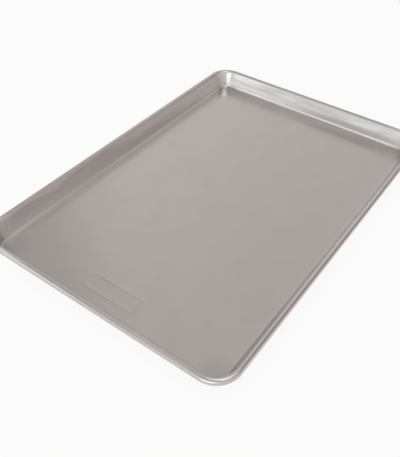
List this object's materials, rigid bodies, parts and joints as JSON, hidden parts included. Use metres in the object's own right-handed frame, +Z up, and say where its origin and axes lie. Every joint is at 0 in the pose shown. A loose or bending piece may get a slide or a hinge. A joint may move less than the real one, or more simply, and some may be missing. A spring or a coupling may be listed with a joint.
{
  "type": "jelly roll pan",
  "caption": "Shallow rectangular baking pan drawn from sheet aluminium, with leaning walls, rounded corners and an edge rolled round a steel wire.",
  "frame": {"origin": "middle of the underside of the floor", "axes": "+X across the pan, +Y along the pan, +Z up out of the hollow"},
  "size_m": [0.2794, 0.4064, 0.02],
  "materials": {
    "sheet_aluminium": "satin, natural",
    "galvanised_wire": "galvanised"
  },
  "bodies": {
    "root": {"pan_body": "sheet_aluminium", "rim_wire": "galvanised_wire"}
  },
  "joints": []
}
